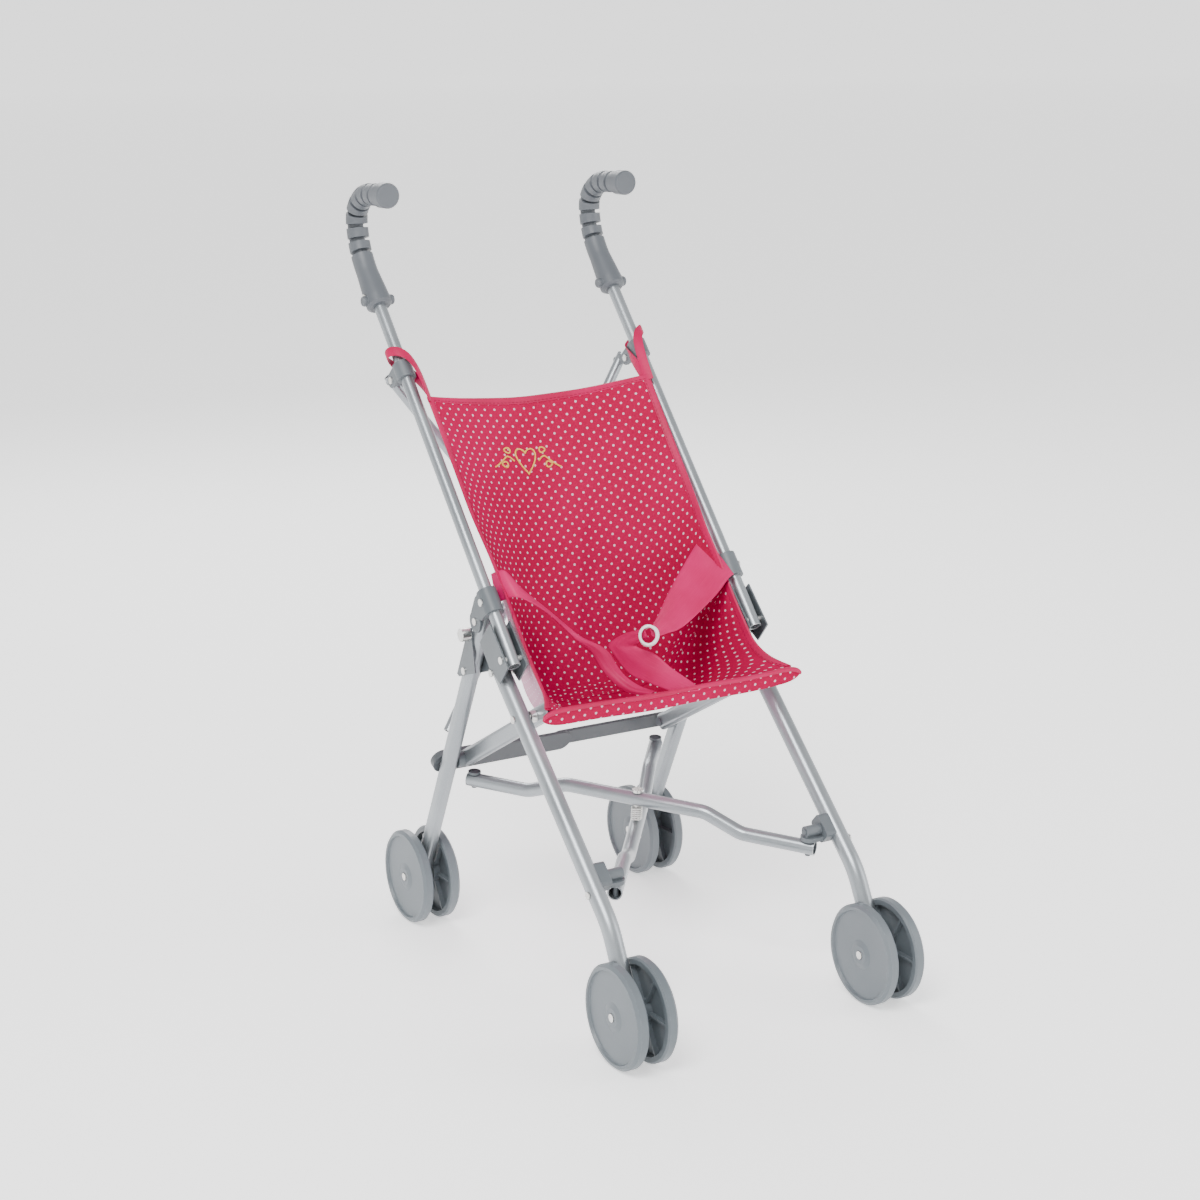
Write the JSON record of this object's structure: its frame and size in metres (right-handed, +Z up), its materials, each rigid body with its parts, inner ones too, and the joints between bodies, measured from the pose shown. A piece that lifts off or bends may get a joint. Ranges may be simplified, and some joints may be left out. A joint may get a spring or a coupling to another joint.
{
  "type": "doll stroller",
  "caption": "Folding umbrella-type doll stroller with hooked handles, dotted sling seat, harness and paired wheels on a crossed tube frame.",
  "frame": {"origin": "on the ground under the middle of the bounding box, in the stroller's middle plane", "axes": "+Z up, -Y to the front, the way the seat faces, +X across the stroller"},
  "size_m": [0.2314, 0.4275, 0.5584],
  "materials": {
    "tube_paint": "satin silver paint",
    "plate_steel": "satin grey paint",
    "grip_plastic": "moulded, fine texture",
    "joint_plastic": "moulded",
    "wheel_plastic": "moulded",
    "brace_plastic": "moulded",
    "zinc": "zinc plated",
    "fabric": "dotted cotton",
    "webbing": "satin ribbon",
    "ring_plastic": "glossy white"
  },
  "bodies": {
    "front_leg_left": {"front_leg_left": "tube_paint", "channel_bracket_left": "plate_steel", "front_joint_left": "joint_plastic", "leg_rivets_left": "zinc", "front_axle_left": "zinc"},
    "handle_left": {"handle_tube_left": "tube_paint", "grip_left": "grip_plastic", "side_sleeve_left": "joint_plastic", "upper_bracket_left": "joint_plastic", "handle_rivets_left": "zinc"},
    "rear_leg_left": {"rear_leg_left": "tube_paint", "gusset_left": "plate_steel", "rear_rivets_left": "zinc", "rear_axle_left": "zinc"},
    "seat_rail_left": {"seat_rail_left": "tube_paint", "rear_joint_left": "joint_plastic", "seat_sling": "fabric", "harness_strap_left": "webbing", "harness_strap_right": "webbing", "crotch_strap": "webbing", "strap_ring": "ring_plastic"},
    "front_swivel_left": {"front_swivel_left": "joint_plastic"},
    "upper_swivel_left": {"upper_swivel_left": "joint_plastic"},
    "back_bar_left": {"back_bar_left": "tube_paint", "back_rivet": "zinc"},
    "cross_tube_left": {"cross_tube_left": "tube_paint", "cross_ear_left": "joint_plastic", "cross_bolt": "zinc", "cross_spring": "zinc"},
    "brace_left": {"brace_left": "brace_plastic"},
    "front_wheel_left_outer": {"front_wheel_left_outer": "wheel_plastic"},
    "front_wheel_left_inner": {"front_wheel_left_inner": "wheel_plastic"},
    "rear_wheel_left_outer": {"rear_wheel_left_outer": "wheel_plastic"},
    "rear_wheel_left_inner": {"rear_wheel_left_inner": "wheel_plastic"},
    "front_leg_right": {"front_leg_right": "tube_paint", "channel_bracket_right": "plate_steel", "front_joint_right": "joint_plastic", "leg_rivets_right": "zinc", "front_axle_right": "zinc"},
    "handle_right": {"handle_tube_right": "tube_paint", "grip_right": "grip_plastic", "side_sleeve_right": "joint_plastic", "upper_bracket_right": "joint_plastic", "handle_rivets_right": "zinc"},
    "rear_leg_right": {"rear_leg_right": "tube_paint", "gusset_right": "plate_steel", "rear_rivets_right": "zinc", "rear_axle_right": "zinc"},
    "seat_rail_right": {"seat_rail_right": "tube_paint", "rear_joint_right": "joint_plastic"},
    "front_swivel_right": {"front_swivel_right": "joint_plastic"},
    "upper_swivel_right": {"upper_swivel_right": "joint_plastic"},
    "back_bar_right": {"back_bar_right": "tube_paint"},
    "cross_tube_right": {"cross_tube_right": "tube_paint", "cross_ear_right": "joint_plastic"},
    "brace_right": {"brace_right": "brace_plastic"},
    "front_wheel_right_outer": {"front_wheel_right_outer": "wheel_plastic"},
    "front_wheel_right_inner": {"front_wheel_right_inner": "wheel_plastic"},
    "rear_wheel_right_outer": {"rear_wheel_right_outer": "wheel_plastic"},
    "rear_wheel_right_inner": {"rear_wheel_right_inner": "wheel_plastic"}
  },
  "joints": [
    {"name": "handle_fold", "type": "hinge", "parent": "front_leg_left", "child": "handle_left", "pos_m": [-0.1, -0.02235, 0.2414], "axis": [1, 0, 0], "range_deg": [0, 165], "deforming": ["seat_sling", "harness_strap_left", "harness_strap_right", "crotch_strap", "strap_ring", "cross_spring"]},
    {"name": "upper_swivel_left_turn", "type": "hinge", "parent": "handle_left", "child": "upper_swivel_left", "pos_m": [-0.1, 0.14436, 0.41592], "axis": [1, 0, 0], "range_deg": [-27.97, 0]},
    {"name": "back_bar_left_turn", "type": "hinge", "parent": "upper_swivel_left", "child": "back_bar_left", "pos_m": [-0.1, 0.15415, 0.41389], "axis": [0, 0.9792, -0.2031], "range_deg": [0, 24.68]},
    {"name": "back_cross_turn", "type": "hinge", "parent": "back_bar_left", "child": "back_bar_right", "pos_m": [0, 0.12527, 0.27469], "axis": [0, 0.9792, -0.2031], "range_deg": [-48.85, 0]},
    {"name": "back_bar_right_turn", "type": "hinge", "parent": "back_bar_right", "child": "upper_swivel_right", "pos_m": [0.1, 0.16228, 0.41221], "axis": [0, 0.9792, -0.2031], "range_deg": [0, 24.68]},
    {"name": "upper_swivel_right_turn", "type": "hinge", "parent": "upper_swivel_right", "child": "handle_right", "pos_m": [0.1, 0.14436, 0.41592], "axis": [1, 0, 0], "range_deg": [0, 27.97]},
    {"name": "leg_right_fold", "type": "hinge", "parent": "handle_right", "child": "front_leg_right", "pos_m": [0.1, -0.02235, 0.2414], "axis": [1, 0, 0], "range_deg": [-165.5, 0]},
    {"name": "rear_leg_left_fold", "type": "hinge", "parent": "handle_left", "child": "rear_leg_left", "pos_m": [-0.1, 0.01765, 0.2605], "axis": [1, 0, 0], "range_deg": [-74.89, 0]},
    {"name": "seat_rail_left_turn", "type": "hinge", "parent": "front_leg_left", "child": "seat_rail_left", "pos_m": [-0.1, -0.03485, 0.2015], "axis": [1, 0, 0], "range_deg": [0, 75.67]},
    {"name": "front_swivel_left_turn", "type": "hinge", "parent": "front_leg_left", "child": "front_swivel_left", "pos_m": [-0.1, -0.12564, 0.11233], "axis": [1, 0, 0], "range_deg": [0, 39.84]},
    {"name": "rear_leg_right_fold", "type": "hinge", "parent": "handle_right", "child": "rear_leg_right", "pos_m": [0.1, 0.01765, 0.2605], "axis": [1, 0, 0], "range_deg": [-74.89, 0]},
    {"name": "seat_rail_right_turn", "type": "hinge", "parent": "front_leg_right", "child": "seat_rail_right", "pos_m": [0.1, -0.03485, 0.2015], "axis": [1, 0, 0], "range_deg": [0, 75.67]},
    {"name": "front_swivel_right_turn", "type": "hinge", "parent": "front_leg_right", "child": "front_swivel_right", "pos_m": [0.1, -0.12564, 0.11233], "axis": [1, 0, 0], "range_deg": [0, 39.84]},
    {"name": "cross_tube_left_turn", "type": "hinge", "parent": "front_swivel_left", "child": "cross_tube_left", "pos_m": [-0.079, -0.12435, 0.1], "axis": [0, -0.1038, 0.9946], "range_deg": [0, 32.55]},
    {"name": "cross_middle_turn", "type": "hinge", "parent": "cross_tube_left", "child": "cross_tube_right", "pos_m": [0, -0.02135, 0.11075], "axis": [0, -0.1038, 0.9946], "range_deg": [-64.6, 0]},
    {"name": "brace_left_turn", "type": "hinge", "parent": "rear_leg_left", "child": "brace_left", "pos_m": [-0.1, 0.08932, 0.136], "axis": [0, 0.8887, 0.4586], "range_deg": [-71.23, 0]},
    {"name": "brace_middle_turn", "type": "hinge", "parent": "brace_left", "child": "brace_right", "pos_m": [0, 0.08932, 0.136], "axis": [0, 0.8887, 0.4586], "range_deg": [0, 141.96]},
    {"name": "front_wheel_left_outer_spin", "type": "hinge", "parent": "front_leg_left", "child": "front_wheel_left_outer", "pos_m": [-0.111, -0.17805, 0.0357], "axis": [1, 0, 0], "continuous": true},
    {"name": "front_wheel_left_inner_spin", "type": "hinge", "parent": "front_leg_left", "child": "front_wheel_left_inner", "pos_m": [-0.089, -0.17805, 0.0357], "axis": [1, 0, 0], "continuous": true},
    {"name": "rear_wheel_left_outer_spin", "type": "hinge", "parent": "rear_leg_left", "child": "rear_wheel_left_outer", "pos_m": [-0.111, 0.13365, 0.0357], "axis": [1, 0, 0], "continuous": true},
    {"name": "rear_wheel_left_inner_spin", "type": "hinge", "parent": "rear_leg_left", "child": "rear_wheel_left_inner", "pos_m": [-0.089, 0.13365, 0.0357], "axis": [1, 0, 0], "continuous": true},
    {"name": "front_wheel_right_outer_spin", "type": "hinge", "parent": "front_leg_right", "child": "front_wheel_right_outer", "pos_m": [0.111, -0.17805, 0.0357], "axis": [1, 0, 0], "continuous": true},
    {"name": "front_wheel_right_inner_spin", "type": "hinge", "parent": "front_leg_right", "child": "front_wheel_right_inner", "pos_m": [0.089, -0.17805, 0.0357], "axis": [1, 0, 0], "continuous": true},
    {"name": "rear_wheel_right_outer_spin", "type": "hinge", "parent": "rear_leg_right", "child": "rear_wheel_right_outer", "pos_m": [0.111, 0.13365, 0.0357], "axis": [1, 0, 0], "continuous": true},
    {"name": "rear_wheel_right_inner_spin", "type": "hinge", "parent": "rear_leg_right", "child": "rear_wheel_right_inner", "pos_m": [0.089, 0.13365, 0.0357], "axis": [1, 0, 0], "continuous": true}
  ],
  "couplings": [
    {"joint": "upper_swivel_left_turn", "follows": "handle_fold", "ratio": -0.16649},
    {"joint": "back_bar_left_turn", "follows": "handle_fold", "ratio": 0.14653},
    {"joint": "back_cross_turn", "follows": "handle_fold", "ratio": -0.29306},
    {"joint": "back_bar_right_turn", "follows": "handle_fold", "ratio": 0.14653},
    {"joint": "upper_swivel_right_turn", "follows": "handle_fold", "ratio": 0.16649},
    {"joint": "leg_right_fold", "follows": "handle_fold", "ratio": -1},
    {"joint": "rear_leg_left_fold", "follows": "handle_fold", "ratio": -0.45082},
    {"joint": "seat_rail_left_turn", "follows": "handle_fold", "ratio": 0.45559},
    {"joint": "front_swivel_left_turn", "follows": "handle_fold", "ratio": 0.23843},
    {"joint": "rear_leg_right_fold", "follows": "handle_fold", "ratio": -0.45082},
    {"joint": "seat_rail_right_turn", "follows": "handle_fold", "ratio": 0.45559},
    {"joint": "front_swivel_right_turn", "follows": "handle_fold", "ratio": 0.23843},
    {"joint": "cross_tube_left_turn", "follows": "handle_fold", "ratio": 0.19425},
    {"joint": "cross_middle_turn", "follows": "handle_fold", "ratio": -0.38851},
    {"joint": "brace_left_turn", "follows": "handle_fold", "ratio": -0.42867},
    {"joint": "brace_middle_turn", "follows": "handle_fold", "ratio": 0.85735}
  ]
}
